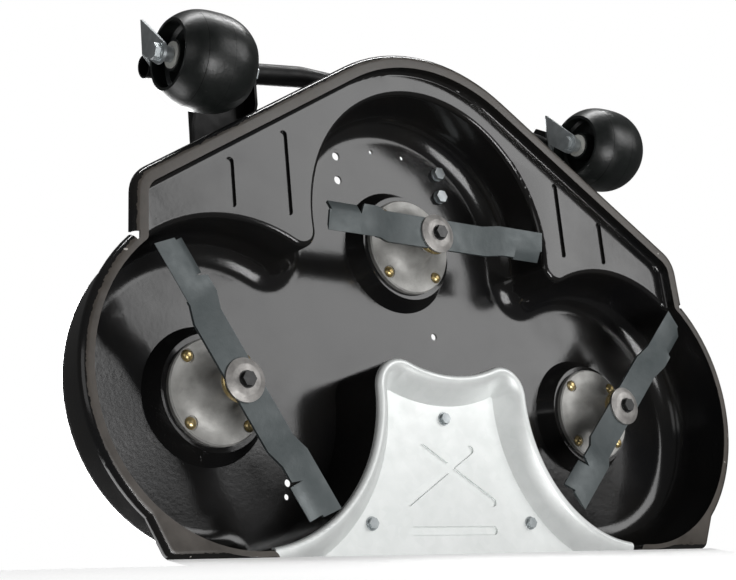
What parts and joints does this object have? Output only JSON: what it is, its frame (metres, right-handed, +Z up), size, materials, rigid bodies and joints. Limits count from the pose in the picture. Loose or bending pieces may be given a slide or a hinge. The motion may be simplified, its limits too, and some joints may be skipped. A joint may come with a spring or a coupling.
{
  "type": "lawn mower deck",
  "caption": "Pressed steel cutting deck for a ride-on mower, with belt-driven blade spindles, a bolted-in mulching plug and a wheeled front tube.",
  "frame": {"origin": "On the ground under the wheels, at the centre of the overall length and width.", "axes": "+Z is up, out of the deck top; -Y is forward, towards the wheels; +X is the operator's left. Seen as in use, blades below."},
  "size_m": [1.106, 0.7002, 0.244],
  "materials": {
    "deck_paint": "gloss",
    "frame_paint": "satin",
    "cast_metal": "satin",
    "shaft_steel": "satin",
    "yellow_zinc": "gloss",
    "blade_paint": "satin",
    "washer_steel": "satin",
    "black_steel": "satin",
    "zinc": "gloss",
    "galvanised": "satin",
    "pulley_steel": "satin",
    "belt_rubber": "matte",
    "wheel_plastic": "satin",
    "bush_plastic": "satin"
  },
  "bodies": {
    "deck": {"deck_shell": "deck_paint", "spindle_housing_left": "cast_metal", "spindle_housing_right": "cast_metal", "spindle_housing_centre": "cast_metal", "spindle_bearings": "shaft_steel", "housing_bolts": "yellow_zinc", "housing_nuts": "yellow_zinc", "deck_belt": "belt_rubber", "idler_bolt": "zinc", "idler_nut": "zinc", "idler_bracket": "frame_paint", "mulching_plug": "galvanised", "plug_baffle": "deck_paint", "plug_screws": "zinc", "plug_spacers": "zinc", "plug_nuts": "zinc", "front_tube": "frame_paint", "front_arm_left": "frame_paint", "wheel_fork_left": "zinc", "rear_hanger_left": "frame_paint", "front_arm_right": "frame_paint", "wheel_fork_right": "zinc", "rear_hanger_right": "frame_paint", "wheel_spacers": "zinc", "axle_bolts": "zinc", "axle_nuts": "zinc", "hanger_base": "frame_paint", "hanger_ear_front": "frame_paint", "hanger_ear_rear": "frame_paint", "hanger_bolts": "zinc", "hanger_nuts": "zinc"},
    "spindle_left": {"spindle_shaft_left": "shaft_steel", "dust_collar_left": "yellow_zinc", "blade_left": "blade_paint", "blade_washer_left": "washer_steel", "blade_bolt_left": "black_steel", "pulley_left": "pulley_steel", "pulley_nut_left": "zinc"},
    "spindle_right": {"spindle_shaft_right": "shaft_steel", "dust_collar_right": "yellow_zinc", "blade_right": "blade_paint", "blade_washer_right": "washer_steel", "blade_bolt_right": "black_steel", "pulley_right": "pulley_steel", "pulley_nut_right": "zinc"},
    "spindle_centre": {"spindle_shaft_centre": "shaft_steel", "dust_collar_centre": "yellow_zinc", "blade_centre": "blade_paint", "blade_washer_centre": "washer_steel", "blade_bolt_centre": "black_steel", "pulley_centre": "pulley_steel", "pulley_nut_centre": "zinc"},
    "idler": {"idler_pulley": "pulley_steel", "idler_bearing": "shaft_steel"},
    "wheel_left": {"wheel_left": "wheel_plastic", "wheel_bearings_left": "bush_plastic"},
    "wheel_right": {"wheel_right": "wheel_plastic", "wheel_bearings_right": "bush_plastic"}
  },
  "joints": [
    {"name": "spindle_centre_turn", "type": "hinge", "parent": "deck", "child": "spindle_centre", "pos_m": [0, -0.08995, 0.13], "axis": [0, 0, -1], "continuous": true},
    {"name": "spindle_left_turn", "type": "hinge", "parent": "deck", "child": "spindle_left", "pos_m": [0.331, 0.13745, 0.13], "axis": [0, 0, -1], "continuous": true},
    {"name": "spindle_right_turn", "type": "hinge", "parent": "deck", "child": "spindle_right", "pos_m": [-0.331, 0.13745, 0.13], "axis": [0, 0, -1], "continuous": true},
    {"name": "wheel_left_turn", "type": "hinge", "parent": "deck", "child": "wheel_left", "pos_m": [0.3584, -0.27515, 0.0645], "axis": [1, 0, 0], "continuous": true},
    {"name": "wheel_right_turn", "type": "hinge", "parent": "deck", "child": "wheel_right", "pos_m": [-0.3584, -0.27515, 0.0645], "axis": [1, 0, 0], "continuous": true},
    {"name": "idler_turn", "type": "hinge", "parent": "deck", "child": "idler", "pos_m": [0.07, 0.21945, 0.196], "axis": [0, 0, -1], "continuous": true}
  ],
  "couplings": [
    {"joint": "spindle_left_turn", "follows": "spindle_centre_turn", "ratio": 1},
    {"joint": "spindle_right_turn", "follows": "spindle_centre_turn", "ratio": 1},
    {"joint": "idler_turn", "follows": "spindle_centre_turn", "ratio": -1.7259}
  ]
}
